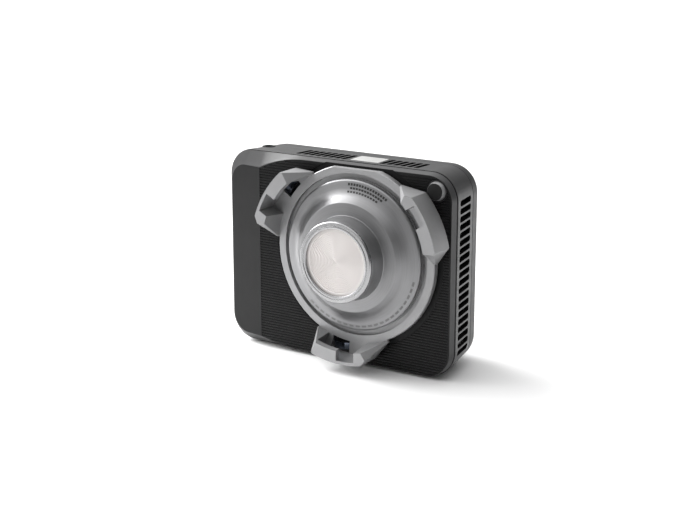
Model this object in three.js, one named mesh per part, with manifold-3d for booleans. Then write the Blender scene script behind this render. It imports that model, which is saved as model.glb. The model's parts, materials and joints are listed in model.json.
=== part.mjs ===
// Compact COB spotlight with a three-claw accessory ring, a bell hood and a ribbed lens.
// Millimetres, +Z up. The light shines along -Y. While the pieces are made, the optical axis is
// the Y axis and y = 0 is the seat of the accessory ring; the last lines stand the lamp on its
// base, with the origin under the middle of its box.
import * as THREE from 'three';
import { mergeVertices } from 'three/addons/utils/BufferGeometryUtils.js';
import Module from 'manifold-3d';

const wasm = await Module();
wasm.setup();

// ---------------------------------------------------------------- driving dimensions
const GAP = 0.3; // clearance between neighbouring pieces

// Body: a rounded box whose walls draw in towards the back.
const PANEL_Y = 4.5; // ribbed front face
const SEAM_Y = 10; // back edge of the front shell
const REAR_SEAM_Y = 36.7; // back edge of the main housing
const CREASE_X = -74; // where the plain left face starts to slant back
const SLANT = Math.tan(THREE.MathUtils.degToRad(10));
const BODY = { left: -100.5, right: 65.8, top: 56.1, bottom: -71.5, radius: 17.5 }; // at SEAM_Y
const DRAFT = { side: 0.15, top: 0.035, bottom: 0.041 }; // mm inwards for each mm of depth
const FRONT = { left: -98.8, right: 64.4, top: 54.4, bottom: -70.3, slantTop: 46.1, slantBottom: -66.2 };
const WALL = 2.4;
const BACK_Y = 62; // flat of the rear cover
const REAR_STEPS = [[44.5, 0], [47, 1.2], [51, 3.8], [56, 6.8], [60, 9], [BACK_Y, 11]]; // [depth, inset]

// Accessory ring and claws.
const SEAT_R = 56;
const SEAT_BORE_R = 51;
const RING_FLOOR_Y = 1.2;
const GROOVE_Y = 3; // floor of the groove round the hood
const RING_BACK_Y = 4.2;
const RING_FLAT_Z = 53.4;
const SPIGOT_R = 46.5;
const SPIGOT_BACK_Y = 8;
const RING_BORE_R = 38;
const RECESS_R = 59.7;
const RECESS_Y = 5.7;
const CLAW_ANGLES = [270, 30, 150]; // degrees, counter-clockwise seen from the front
const CLAW = {
  outerR: 66.2, lipR: 58.2, slotR: 64.3, frontY: -16.1, lipBackY: -12.3, backY: 1.4,
  notchFrom: -3.4, notchTo: 9.4, slotEnd: -19.5, windowFrom: -15.6, windowTo: -3.3,
};

// Optics.
const HOOD_EDGE_R = 47.4;
const BARREL_FRONT_Y = -20.3;
const LENS_FRONT_Y = -22.5;
const LENS_R = 22.6;

// Release button and lock pin.
const BUTTON = { x: 54.3, z: 45.5, r: 5.8, face: 5, frontY: 1.6, travel: 1.8, holeR: 6.9 };
const PIN = { angle: 33, orbit: 60, r: 2.1 };
const LINK_Y = 9.2;

// Vents.
const VENT = { pitch: 4.91, height: 3.65, corner: 1.1, count: 20, topZ: 37.2, fromY: 14, toY: 32.6 };
const TOP_VENT = { pitch: 4.74, width: 3.4, fromY: 13, toY: 29.4, groups: [[-50.2, 8], [11, 6]] };

// Cooling.
const FAN_Z = -8;
const FAN_SIZE = 80;
const FAN_R = 37.2;
const SINK_HALF = 46;

// Rear controls, in one column on the left as seen from the front.
const PANEL_X = -63;
const DISPLAY = { z: 27, width: 34, height: 22 };
const KNOBS = [['brightness', PANEL_X - 10.5], ['colour', PANEL_X + 10.5]];
const KNOB = { z: 2, r: 8.2, frontY: BACK_Y + 0.5, backY: 70, bore: 3.3 };
const KEYS = [['power_button', PANEL_X - 10.5], ['mode_button', PANEL_X + 10.5]];
const KEY = { z: -16, r: 4, proud: 1.6 };
const INLET = { z: -43, width: 27, height: 20, depth: 17 };

// Base.
const BASE_Z = -72.3;
const STAND = { x: -17.3, y: 23.5, width: 60, depth: 22, boreR: 4.8, bushR: 7.8 };
const THREAD = { x: -81.2, y: 25.4, r: 4.2 };

// ---------------------------------------------------------------- solids
const rad = THREE.MathUtils.degToRad;
const polar = (r, degrees) => [r * Math.cos(rad(degrees)), r * Math.sin(rad(degrees))];

function toSolid(geometry) {
  const bare = geometry.index ? geometry.toNonIndexed() : geometry.clone();
  bare.deleteAttribute('normal');
  bare.deleteAttribute('uv');
  const merged = mergeVertices(bare, 1e-4);
  const triVerts = new Uint32Array(merged.index.array);
  const vertProperties = merged.attributes.position.array;
  const mesh = () => new wasm.Mesh({ numProp: 3, vertProperties, triVerts });
  const solid = new wasm.Manifold(mesh());
  if (solid.volume() >= 0) return solid;
  for (let i = 0; i < triVerts.length; i += 3) {
    [triVerts[i + 1], triVerts[i + 2]] = [triVerts[i + 2], triVerts[i + 1]];
  }
  return new wasm.Manifold(mesh());
}

const join = (solids) => solids.reduce((sum, solid) => sum.add(solid));
const cut = (solid, tools) => tools.reduce((left, tool) => left.subtract(tool), solid);

function box(x0, x1, y0, y1, z0, z1) {
  const geometry = new THREE.BoxGeometry(x1 - x0, y1 - y0, z1 - z0);
  return toSolid(geometry.translate((x0 + x1) / 2, (y0 + y1) / 2, (z0 + z1) / 2));
}

// Cylinder along Y.
function rod(r, y0, y1, x = 0, z = 0, sides = 20) {
  const geometry = new THREE.CylinderGeometry(r, r, y1 - y0, sides);
  return toSolid(geometry.translate(x, (y0 + y1) / 2, z));
}

// Turned piece about the Y axis through (x, z): a closed list of [radius, y].
function turned(profile, sides = 60, x = 0, z = 0) {
  const points = [...profile, profile[0]].map(([r, y]) => new THREE.Vector2(r, y));
  return toSolid(new THREE.LatheGeometry(points, sides).translate(x, 0, z));
}

const shapeOf = (outline) => new THREE.Shape(outline.map(([x, z]) => new THREE.Vector2(x, z)));

// Prism along Y over an outline of [x, z] points or a Shape.
function prism(outline, y0, y1) {
  const shape = outline instanceof THREE.Shape ? outline : shapeOf(outline);
  const depth = y1 - y0;
  const geometry = new THREE.ExtrudeGeometry(shape, { depth, bevelEnabled: false, curveSegments: 4 });
  return toSolid(geometry.rotateX(Math.PI / 2).translate(0, y1, 0));
}

function roundedRect(x0, x1, z0, z1, r) {
  const shape = new THREE.Shape();
  shape.moveTo(x0 + r, z0);
  shape.lineTo(x1 - r, z0);
  shape.absarc(x1 - r, z0 + r, r, -Math.PI / 2, 0);
  shape.lineTo(x1, z1 - r);
  shape.absarc(x1 - r, z1 - r, r, 0, Math.PI / 2);
  shape.lineTo(x0 + r, z1);
  shape.absarc(x0 + r, z1 - r, r, Math.PI / 2, Math.PI);
  shape.lineTo(x0, z0 + r);
  shape.absarc(x0 + r, z0 + r, r, Math.PI, Math.PI * 1.5);
  return shape;
}

// Solid through a stack of rings with equal counts of [x, y, z] points, closed by its two end faces.
// When the first face is creased, `fold` gives the two ring points that the crease joins.
function loft(rings, fold = [0, 0]) {
  const count = rings[0].length;
  const vertices = rings.flat().map(([x, y, z]) => new THREE.Vector3(x, y, z));
  const faces = [];
  for (let k = 0; k + 1 < rings.length; k += 1) {
    for (let i = 0; i < count; i += 1) {
      const a = k * count + i;
      const b = k * count + ((i + 1) % count);
      faces.push([a, b, b + count], [a, b + count, a + count]);
    }
  }
  const cap = (points) => {
    const flat = points.map((i) => new THREE.Vector2(vertices[i].x, vertices[i].z));
    return THREE.ShapeUtils.triangulateShape(flat, []).map((face) => face.map((i) => points[i]));
  };
  const ends = Array.from({ length: count }, (_, i) => i);
  const [from, to] = fold;
  const front = [[...ends.slice(to), ...ends.slice(0, from + (to > from ? 1 : 0))]];
  if (to > from) front.push(ends.slice(from, to + 1));
  for (const points of front) faces.push(...cap(points).map((face) => face.reverse()));
  faces.push(...cap(ends.map((i) => (rings.length - 1) * count + i)));
  const geometry = new THREE.BufferGeometry().setFromPoints(vertices);
  geometry.setIndex(faces.flat());
  return toSolid(geometry);
}

// Everything on the side of the plane through three points that `away` points to.
function beyond(a, b, c, away) {
  const [p, q, r] = [a, b, c].map((point) => new THREE.Vector3(...point));
  const normal = q.clone().sub(p).cross(r.clone().sub(p)).normalize();
  if (normal.dot(new THREE.Vector3(...away)) < 0) normal.negate();
  const size = 80;
  const turn = new THREE.Quaternion().setFromUnitVectors(new THREE.Vector3(0, 0, 1), normal);
  const geometry = new THREE.BoxGeometry(size, size, size).applyQuaternion(turn);
  const middle = p.add(q).add(r).divideScalar(3).addScaledVector(normal, size / 2);
  return toSolid(geometry.translate(middle.x, middle.y, middle.z));
}

// Helical spring along Y.
function coil(radius, wire, y0, y1, x, z, turns) {
  const path = new THREE.Curve();
  const run = y1 - y0 - wire;
  path.getPoint = (t, target = new THREE.Vector3()) => {
    const [dx, dz] = polar(radius, 360 * turns * t);
    return target.set(x + dx, y0 + wire / 2 + run * t, z + dz);
  };
  const section = new THREE.Shape().absarc(0, 0, wire / 2, 0, 2 * Math.PI);
  return toSolid(new THREE.ExtrudeGeometry(section,
    { extrudePath: path, steps: turns * 9, curveSegments: 3, bevelEnabled: false }));
}

// ---------------------------------------------------------------- scene graph
const group = new THREE.Group();

function add(name, solid, color, roughness, metalness = 0) {
  const { vertProperties, triVerts } = solid.getMesh();
  const geometry = new THREE.BufferGeometry();
  geometry.setAttribute('position', new THREE.BufferAttribute(vertProperties, 3));
  geometry.setIndex(new THREE.BufferAttribute(triVerts, 1));
  geometry.computeVertexNormals();
  const mesh = new THREE.Mesh(geometry, new THREE.MeshStandardMaterial({ color, roughness, metalness }));
  mesh.name = name;
  group.add(mesh);
}

const SHELL = [0x2b2b2d, 0.6];
const METAL = [0xa8a8aa, 0.4, 0.9];
const STEEL = [0x3a3f46, 0.25, 1];
const BRIGHT = [0xc8c9cc, 0.3, 1];
const BLACK = [0x111112, 0.5];
const BOARD = [0x1d4a2c, 0.6];
const COPPER = [0xb87340, 0.35, 1];

// ---------------------------------------------------------------- body shells
const bodyAt = (y) => {
  const depth = Math.min(y, REAR_STEPS[0][0]) - SEAM_Y;
  return {
    left: BODY.left + DRAFT.side * depth, right: BODY.right - DRAFT.side * depth,
    top: BODY.top - DRAFT.top * depth, bottom: BODY.bottom + DRAFT.bottom * depth,
  };
};

// Points along the left half of an upper or lower edge, from the start of the shoulder to the crease.
const BEND_FROM = -40;
const CORNER_STEPS = 6;
const BEND = [0, 0.25, 0.5, 0.75, 1].map((t) => BEND_FROM + t * (CREASE_X - BEND_FROM));

function corner(x, z, r, from) {
  return Array.from({ length: CORNER_STEPS + 1 }, (_, i) => {
    const [dx, dz] = polar(r, from + (90 * i) / CORNER_STEPS);
    return [x + dx, z + dz];
  });
}

// Outline of the body at one depth. The bend's points are only needed where the front face joins on.
function bodyOutline(y, inset = 0, bend = []) {
  const { left, right, top, bottom } = bodyAt(y);
  const r = BODY.radius - inset;
  const [x0, x1, z0, z1] = [left + inset + r, right - inset - r, bottom + inset + r, top - inset - r];
  return [
    ...corner(x1, z0, r, 270), ...corner(x1, z1, r, 0),
    ...bend.map((x) => [x, top - inset]), ...corner(x0, z1, r, 90),
    ...corner(x0, z0, r, 180), ...[...bend].reverse().map((x) => [x, bottom + inset]),
  ];
}

const atDepth = (outline, y) => outline.map(([x, z]) => [x, y, z]);

function shellLoft(depths, inset = 0) {
  return loft(depths.map(([y, step]) => atDepth(bodyOutline(y, inset + step), y)));
}

// The front face: flat on the right of the crease, slanting back on its left, with lower shoulders.
function faceRing() {
  const shoulder = (x) => ((BEND_FROM - x) / (BEND_FROM - CREASE_X)) ** 2;
  const upper = (x) => THREE.MathUtils.lerp(FRONT.top, FRONT.slantTop, shoulder(x));
  const lower = (x) => THREE.MathUtils.lerp(FRONT.bottom, FRONT.slantBottom, shoulder(x));
  const rightR = 16;
  const leftR = 12;
  const outline = [
    ...corner(FRONT.right - rightR, FRONT.bottom + rightR, rightR, 270),
    ...corner(FRONT.right - rightR, FRONT.top - rightR, rightR, 0),
    ...BEND.map((x) => [x, upper(x)]),
    ...corner(FRONT.left + leftR, FRONT.slantTop - leftR, leftR, 90),
    ...corner(FRONT.left + leftR, FRONT.slantBottom + leftR, leftR, 180),
    ...[...BEND].reverse().map((x) => [x, lower(x)]),
  ];
  return outline.map(([x, z]) => [x, PANEL_Y + SLANT * Math.max(0, CREASE_X - x), z]);
}

// The edge round the front face: a small radius, then a straight slanted band back to the seam. The
// crease joins the last point of the upper shoulder to the first point of the lower one.
function bandedFront() {
  const face = faceRing();
  const seam = atDepth(bodyOutline(SEAM_Y, 0, BEND), SEAM_Y);
  const steps = [[-0.2, 0], [0, 0.04], [0.16, 0.16], [1, 1]]; // [share across, share back]
  return loft(steps.map(([across, back]) => face.map(([x, y, z], i) => [
    x + (seam[i][0] - x) * across, y + (seam[i][1] - y) * back, z + (seam[i][2] - z) * across,
  ])), [2 * (CORNER_STEPS + 1) + BEND.length - 1, 4 * (CORNER_STEPS + 1) + BEND.length]);
}

function frontShell() {
  const innerY = PANEL_Y + 2.8;
  const cavity = shellLoft([[SEAM_Y - 8, 0], [SEAM_Y + 1, 0]], WALL)
    .intersect(box(BEND_FROM, 70, innerY, 12, -80, 70));
  const pinAt = polar(PIN.orbit, PIN.angle);
  return cut(bandedFront(), [
    cavity,
    rod(RECESS_R, PANEL_Y - 1, RECESS_Y, 0, 0, 60),
    rod(SPIGOT_R + GAP, PANEL_Y - 1, 12, 0, 0, 60),
    rod(BUTTON.holeR, PANEL_Y - 1, 12, BUTTON.x, BUTTON.z, 28),
    rod(PIN.r + GAP, PANEL_Y - 1, 12, ...pinAt),
  ]);
}

const ventShape = (x0, x1) => roundedRect(x0, x1, -VENT.height / 2, VENT.height / 2, VENT.corner);

// Upright stack of slots cut through a side wall, from xInner to xOuter.
function sideVents(x0, x1) {
  return Array.from({ length: VENT.count }, (_, i) => {
    const geometry = new THREE.ExtrudeGeometry(ventShape(VENT.fromY, VENT.toY),
      { depth: x1 - x0, bevelEnabled: false, curveSegments: 1 });
    // Shape x becomes y, shape y becomes z and the depth becomes x.
    const turn = new THREE.Matrix4().makeBasis(
      new THREE.Vector3(0, 1, 0), new THREE.Vector3(0, 0, 1), new THREE.Vector3(1, 0, 0));
    return toSolid(geometry.applyMatrix4(turn).translate(x0, 0, VENT.topZ - i * VENT.pitch));
  });
}

function topVents() {
  return TOP_VENT.groups.flatMap(([first, count]) => Array.from({ length: count }, (_, i) => {
    const x = first + i * TOP_VENT.pitch;
    const half = TOP_VENT.width / 2;
    const shape = roundedRect(x - half, x + half, -TOP_VENT.toY, -TOP_VENT.fromY, 1.1);
    const geometry = new THREE.ExtrudeGeometry(shape, { depth: 12, bevelEnabled: false, curveSegments: 1 });
    // Shape y is minus the depth, so a mirror-free turn needs x, -y, z: a half turn about X.
    return toSolid(geometry.rotateX(Math.PI).translate(0, 0, BODY.top + 4));
  }));
}

function standRecess(grow) {
  return box(STAND.x - STAND.width / 2 - grow, STAND.x + STAND.width / 2 + grow,
    STAND.y - STAND.depth / 2 - grow, STAND.y + STAND.depth / 2 + grow, BASE_Z - 1, -60);
}

function threadHole(r, z0, z1) {
  const geometry = new THREE.CylinderGeometry(r, r, z1 - z0, 20).rotateX(Math.PI / 2);
  return toSolid(geometry.translate(THREAD.x, THREAD.y, (z0 + z1) / 2));
}

const BADGE = { x0: -12.5, x1: 7.5, y0: 14.2, y1: 28.6, thick: 0.9 };

function mainHousing() {
  const y0 = SEAM_Y + GAP;
  const outer = shellLoft([[y0, 0], [REAR_SEAM_Y, 0]]);
  const inner = shellLoft([[y0 - 1, 0], [REAR_SEAM_Y + 1, 0]], WALL);
  return cut(outer, [
    inner, ...sideVents(54, 72), ...sideVents(-106, -90), ...topVents(), standRecess(GAP),
    threadHole(THREAD.r + GAP, 40, 70),
    box(BADGE.x0 - GAP, BADGE.x1 + GAP, BADGE.y0 - GAP, BADGE.y1 + GAP, BODY.top - BADGE.thick - 0.5, 70),
  ]);
}

function rearCover() {
  const y0 = REAR_SEAM_Y + GAP;
  const outer = shellLoft([[y0, 0], ...REAR_STEPS]);
  const inner = shellLoft([[y0 - 1, 0], ...REAR_STEPS.map(([y, step]) => [y - WALL, step])], WALL);
  const column = [
    prism(roundedRect(PANEL_X - DISPLAY.width / 2, PANEL_X + DISPLAY.width / 2,
      DISPLAY.z - DISPLAY.height / 2, DISPLAY.z + DISPLAY.height / 2, 2), 50, 70),
    ...KNOBS.map(([, x]) => rod(KNOB.bore + 1.6, 50, 70, x, KNOB.z)),
    ...KEYS.map(([, x]) => rod(KEY.r + GAP, 50, 70, x, KEY.z)),
    prism(roundedRect(PANEL_X - INLET.width / 2 - GAP, PANEL_X + INLET.width / 2 + GAP,
      INLET.z - INLET.height / 2 - GAP, INLET.z + INLET.height / 2 + GAP, 2), 50, 70),
    prism(roundedRect(PANEL_X - 4.9, PANEL_X + 4.9, -28.3, -24.7, 1.7), 50, 70),
  ];
  return cut(outer, [inner, ...column, rod(FAN_R + 1.2, 50, 70, 0, FAN_Z, 40),
    ...rearScrewPlaces().map(([x, z]) => rod(1.7, 50, 70, x, z, 20)),
    ...rearScrewPlaces().map(([x, z]) => rod(3.1, BACK_Y - 1.4, 70, x, z, 24))]);
}

function rearScrewPlaces() {
  return [[44, 38.5], [44, -53.5], [-43.2, 40], [-43.2, -55]];
}

add('front_shell', frontShell(), ...SHELL);
add('main_housing', mainHousing(), ...SHELL);
add('rear_cover', rearCover(), ...SHELL);
{
  const { top } = bodyAt((BADGE.y0 + BADGE.y1) / 2);
  const plate = box(BADGE.x0, BADGE.x1, BADGE.y0, BADGE.y1, BODY.top - BADGE.thick, top + 0.15);
  add('top_badge', plate, 0xe8e8e6, 0.4);
}

// ---------------------------------------------------------------- accessory ring
// Sector between two radii and two angles, as an outline of [x, z] points.
function sector(r0, r1, from, to, steps = 8) {
  const arc = (r, a, b) => Array.from({ length: steps + 1 }, (_, i) => polar(r, a + ((b - a) * i) / steps));
  return [...arc(r1, from, to), ...arc(r0, to, from)];
}

// Rectangle in a claw's own directions: outwards along its middle, and across it.
function clawRect(angle, out0, out1, across0, across1) {
  const [cx, cz] = polar(1, angle);
  return [[out0, across0], [out1, across0], [out1, across1], [out0, across1]].map(
    ([out, across]) => [out * cx - across * cz, out * cz + across * cx]);
}

const clawPoint = (angle, r, turn, y) => {
  const [x, z] = polar(r, angle + turn);
  return [x, y, z];
};

function clawBlank(angle) {
  const sweep = (r, from, to, steps) => Array.from(
    { length: steps + 1 }, (_, i) => polar(r, angle + from + ((to - from) * i) / steps));
  const arc = sweep(CLAW.outerR, -18.5, 12.5, 10);
  const inner = sweep(55.4, 25.2, -27.5, 8);
  const outline = [...arc, polar(57.4, angle + 25.7), ...inner, polar(57.3, angle - 27.9)];
  const [ox, oz] = polar(1, angle + 70);
  const [px, pz] = polar(1, angle - 70);
  return cut(prism(outline, CLAW.frontY, CLAW.backY), [
    beyond(clawPoint(angle, 58.2, 14.3, CLAW.frontY), clawPoint(angle, 63, 15.9, CLAW.frontY),
      clawPoint(angle, 57.3, 25.5, -0.4), [ox, -1, oz]),
    beyond(clawPoint(angle, 58.2, -18.1, CLAW.frontY), clawPoint(angle, 65.6, -19.4, CLAW.frontY),
      clawPoint(angle, 57.2, -27.6, -0.9), [px, -1, pz]),
    turned([[0, -17], [CLAW.lipR + 0.12, -17], [56.1, 0], [0, 0]]),
  ]);
}

function clawCuts(angle) {
  const notch = prism(clawRect(angle, 48, 70, CLAW.notchFrom, CLAW.notchTo), -30, 0)
    .intersect(rod(CLAW.slotR, -31, 1, 0, 0, 72));
  const slot = prism(sector(50, CLAW.slotR, angle + CLAW.slotEnd, angle + 1), CLAW.lipBackY, 0);
  const window = prism(sector(SEAT_R, CLAW.slotR, angle + CLAW.windowFrom, angle + CLAW.windowTo, 5), -1, 6);
  return [notch, slot, window];
}

function mountRing() {
  const disc = turned([
    [RING_BORE_R, RING_FLOOR_Y], [HOOD_EDGE_R + GAP, RING_FLOOR_Y], [HOOD_EDGE_R + GAP, GROOVE_Y],
    [SEAT_BORE_R, GROOVE_Y], [SEAT_BORE_R, 0], [SEAT_R - 0.5, 0],
    [SEAT_R, 0.5], [SEAT_R, RING_BACK_Y], [SPIGOT_R, RING_BACK_Y], [SPIGOT_R, SPIGOT_BACK_Y],
    [RING_BORE_R, SPIGOT_BACK_Y]]);
  const claws = CLAW_ANGLES.map(clawBlank);
  const pinAt = polar(PIN.orbit, PIN.angle);
  return cut(join([disc, ...claws]), [
    ...CLAW_ANGLES.flatMap(clawCuts),
    box(-30, 30, -5, 12, RING_FLAT_Z, 60),
    rod(PIN.r + 0.2, -6, 10, ...pinAt),
    ...ringScrewPlaces().map(([x, z]) => rod(1.8, -1, 12, x, z, 20)),
  ]);
}

function ringScrewPlaces() {
  return [90, 210, 330].map((angle) => polar(42.3, angle));
}

add('mount_ring', mountRing(), ...METAL);

// Bent spring strip in the window behind each lip: a long ramp, a crest and a short drop.
CLAW_ANGLES.forEach((angle, i) => {
  const thick = 0.8;
  const at = (turn) => 60.5 * Math.tan(rad(turn));
  const line = [[at(-14.3), 1.6], [at(-7.6), -1.1], [at(-3.8), 1.2]];
  const shape = new THREE.Shape([...line, ...[...line].reverse().map(([s, y]) => [s, y + thick])]
    .map(([s, y]) => new THREE.Vector2(s, y)));
  const geometry = new THREE.ExtrudeGeometry(shape, { depth: 4.2, bevelEnabled: false });
  // Shape x runs across the claw, shape y along the optical axis and the depth outwards.
  const [cx, cz] = polar(1, angle);
  const turn = new THREE.Matrix4().makeBasis(
    new THREE.Vector3(-cz, 0, cx), new THREE.Vector3(0, 1, 0), new THREE.Vector3(cx, 0, cz));
  add(`leaf_spring_${i + 1}`, toSolid(geometry.translate(0, 0, 57.6).applyMatrix4(turn)), ...STEEL);
});

ringScrewPlaces().forEach(([x, z], i) => {
  const head = rod(3, RING_FLOOR_Y - 1.9, RING_FLOOR_Y - GAP, x, z, 16);
  const screw = join([head, rod(1.5, RING_FLOOR_Y - 1, 8, x, z, 10)]);
  add(`ring_screw_${i + 1}`, screw, ...BRIGHT);
});

// ---------------------------------------------------------------- hood and optics
add('inner_hood', turned([
  [25.2, BARREL_FRONT_Y], [26.4, -9.3], [34.1, -8.5], [36, -6.9], [38.4, -4.6], [41.4, -3.1],
  [46.6, -2.2], [HOOD_EDGE_R, -1.5], [HOOD_EDGE_R, RING_FLOOR_Y - 0.25],
  [46.4, RING_FLOOR_Y - 0.25], [46.2, -0.9], [38.6, -1], [36, -3.2], [33.6, -6.6], [24.6, -7.3],
  [23.3, BARREL_FRONT_Y]], 48), ...METAL);
add('lens_retaining_ring', turned([
  [20.9, LENS_FRONT_Y + 0.3], [22, LENS_FRONT_Y], [24.6, LENS_FRONT_Y], [25.2, LENS_FRONT_Y + 0.6],
  [25.2, BARREL_FRONT_Y - 0.2], [22.9, BARREL_FRONT_Y - 0.2], [22.9, LENS_FRONT_Y + 1.1],
  [20.9, LENS_FRONT_Y + 1.1]], 48), ...BRIGHT);
add('fresnel_lens', turned([
  [0, -21.1], [10, -21], [20, -20.8], [LENS_R, -20.8], [LENS_R, -18.6], [0, -18.6]], 40), 0xe8e0da, 0.2);
add('lens_gasket', turned([
  [20.8, -18.3], [22.6, -18.3], [22.6, -17.2], [20.8, -17.2]], 32), ...BLACK);
add('reflector_cup', turned([
  [10, 5.2], [13, 1], [20.2, -16.8], [22.4, -16.8], [22.4, -15.4], [21.4, -15.2], [14.2, 1.4],
  [11.4, 5.2]], 28),
  0xe6e6e8, 0.12, 1);
add('cob_holder', turned([
  [11.8, 5.5], [18, 5.5], [18, 7.7], [15.6, 7.7], [15.6, 6.5], [11.8, 6.5]], 28), 0xe9e4d8, 0.6);
add('cob_board', join([box(-10.5, 10.5, 6.9, 8, -10.5, 10.5)]), 0xd9d9d6, 0.4);
add('cob_led', turned([[0, 6], [9.2, 6], [9.6, 6.3], [9.6, 6.6], [0, 6.6]], 28), 0xe8c04a, 0.5);

// ---------------------------------------------------------------- cooling
add('heat_spreader', cut(rod(SINK_HALF, SPIGOT_BACK_Y + GAP, 12, 0, 0, 72),
  [box(-80, 80, 0, 20, 33, 80)]), ...COPPER);
[-20, 0, 20].forEach((z, i) => {
  const pipe = new THREE.CylinderGeometry(3, 3, 80, 16).rotateZ(Math.PI / 2).translate(0, 15.4, z);
  add(`heat_pipe_${i + 1}`, toSolid(pipe), ...COPPER);
});

function finStack() {
  const base = box(-SINK_HALF, SINK_HALF, 18.8, 21.2, -SINK_HALF - 8, SINK_HALF - 8);
  const fins = Array.from({ length: 14 }, (_, i) => {
    const x = -SINK_HALF + (i * (2 * SINK_HALF - 1.2)) / 13;
    return box(x, x + 1.2, 20, 33.5, -SINK_HALF - 8, SINK_HALF - 8);
  });
  return join([base, ...fins]);
}
add('fin_stack', finStack(), 0xb9bbbe, 0.45, 1);

const FAN_FRONT_Y = 36;
const FAN_BACK_Y = 51;

function fanFrame() {
  const half = FAN_SIZE / 2;
  const struts = [0, 120, 240].map((angle) => prism(clawRect(angle, 14, FAN_R + 1, -2, 2).map(
    ([x, z]) => [x, z + FAN_Z]), FAN_BACK_Y - 2, FAN_BACK_Y));
  const block = prism(roundedRect(-half, half, FAN_Z - half, FAN_Z + half, 5), FAN_FRONT_Y, FAN_BACK_Y);
  const holes = [[-1, -1], [-1, 1], [1, -1], [1, 1]].map(([sx, sz]) => rod(
    2.1, FAN_FRONT_Y - 1, FAN_BACK_Y + 1, sx * 35.7, FAN_Z + sz * 35.7, 16));
  const motor = rod(16, FAN_BACK_Y - 2, FAN_BACK_Y, 0, FAN_Z, 24);
  const post = rod(2.6, FAN_FRONT_Y + 4, FAN_BACK_Y, 0, FAN_Z, 12);
  const duct = rod(FAN_R, FAN_FRONT_Y - 1, FAN_BACK_Y + 1, 0, FAN_Z, 40);
  return join([cut(block, [duct, ...holes]), ...struts, motor, post]);
}
add('fan_frame', fanFrame(), ...BLACK);

function fanRotor() {
  const hub = turned([
    [3, 38], [16, 38], [16.6, 38.6], [16.6, 48.4], [14.6, 48.4], [14.6, 40], [3, 40]], 24, 0, FAN_Z);
  const blades = Array.from({ length: 7 }, (_, i) => {
    const geometry = new THREE.BoxGeometry(20, 1.2, 17, 2, 1, 1);
    const place = geometry.attributes.position;
    for (let k = 0; k < place.count; k += 1) {
      const out = place.getX(k) + 26;
      const lean = 0.5 - (out - 16) * 0.008;
      const across = place.getZ(k);
      const thick = place.getY(k);
      place.setXYZ(k, out, 43.4 + across * Math.sin(lean) + thick, across * Math.cos(lean));
    }
    geometry.rotateY(rad((360 * i) / 7));
    return toSolid(geometry.translate(0, 0, FAN_Z));
  });
  return join([hub, ...blades]);
}
add('fan_rotor', fanRotor(), 0x1a1a1c, 0.45);

function fanGrille() {
  const y0 = BACK_Y - 1.9;
  const y1 = BACK_Y - 0.5;
  const hoops = [13, 25, 37.3].map((r) => turned(
    [[r - 1, y0], [r + 0.6, y0], [r + 0.6, y1], [r - 1, y1]], 32, 0, FAN_Z));
  const spokes = [0, 60, 120].map((angle) => prism(
    clawRect(angle, -36.8, 36.8, -0.9, 0.9).map(([x, z]) => [x, z + FAN_Z]), y0, y1));
  return join([...hoops, ...spokes, rod(6, y0, y1, 0, FAN_Z, 20)]);
}
add('fan_grille', fanGrille(), ...BLACK);

// ---------------------------------------------------------------- release button and lock pin
const [PIN_X, PIN_Z] = polar(PIN.orbit, PIN.angle);
add('release_button', join([
  turned([[0, BUTTON.frontY - 0.2], [2.4, BUTTON.frontY - 0.15], [BUTTON.face, BUTTON.frontY],
    [BUTTON.r, PANEL_Y - 0.1], [BUTTON.r, 7.4], [0, 7.4]],
    28, BUTTON.x, BUTTON.z),
  rod(2.4, 7, LINK_Y - 0.1, BUTTON.x, BUTTON.z, 20),
]), 0x1a1a1c, 0.4);
add('button_collar', turned([
  [BUTTON.r + 0.25, PANEL_Y], [BUTTON.holeR - 0.25, PANEL_Y], [BUTTON.holeR - 0.25, 7.1],
  [BUTTON.r + 0.25, 7.1]],
  28, BUTTON.x, BUTTON.z), ...BLACK);

// Plate with a round end under the button and another under the pin.
function linkPlate(y0, y1) {
  return join([
    rod(5, y0, y1, BUTTON.x, BUTTON.z - 0.6),
    rod(4, y0, y1, PIN_X, PIN_Z),
    prism([[PIN_X - 4, PIN_Z], [PIN_X + 4, PIN_Z], [BUTTON.x + 4.6, BUTTON.z - 2],
      [BUTTON.x - 4.8, BUTTON.z - 2]], y0, y1),
  ]);
}
add('release_link', linkPlate(LINK_Y, LINK_Y + 1.6), ...BRIGHT);
const PIN_TIP_Y = 0.2 - BUTTON.travel;
add('lock_pin', turned([
  [0, PIN_TIP_Y], [1.3, PIN_TIP_Y], [PIN.r, PIN_TIP_Y + 0.8], [PIN.r, LINK_Y - 0.1], [0, LINK_Y - 0.1]],
16, PIN_X, PIN_Z), ...BRIGHT);
const SPRING_END_Y = LINK_Y + 1.7 + 7;
add('button_spring', coil(2.6, 0.7, LINK_Y + 1.75, SPRING_END_Y, BUTTON.x, BUTTON.z - 0.6, 3), ...BRIGHT);
add('lock_pin_spring', coil(1.9, 0.6, LINK_Y + 1.75, SPRING_END_Y, PIN_X, PIN_Z, 3), ...BRIGHT);
add('spring_bracket', linkPlate(SPRING_END_Y + 0.1, SPRING_END_Y + 1.5), ...BRIGHT);

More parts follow.
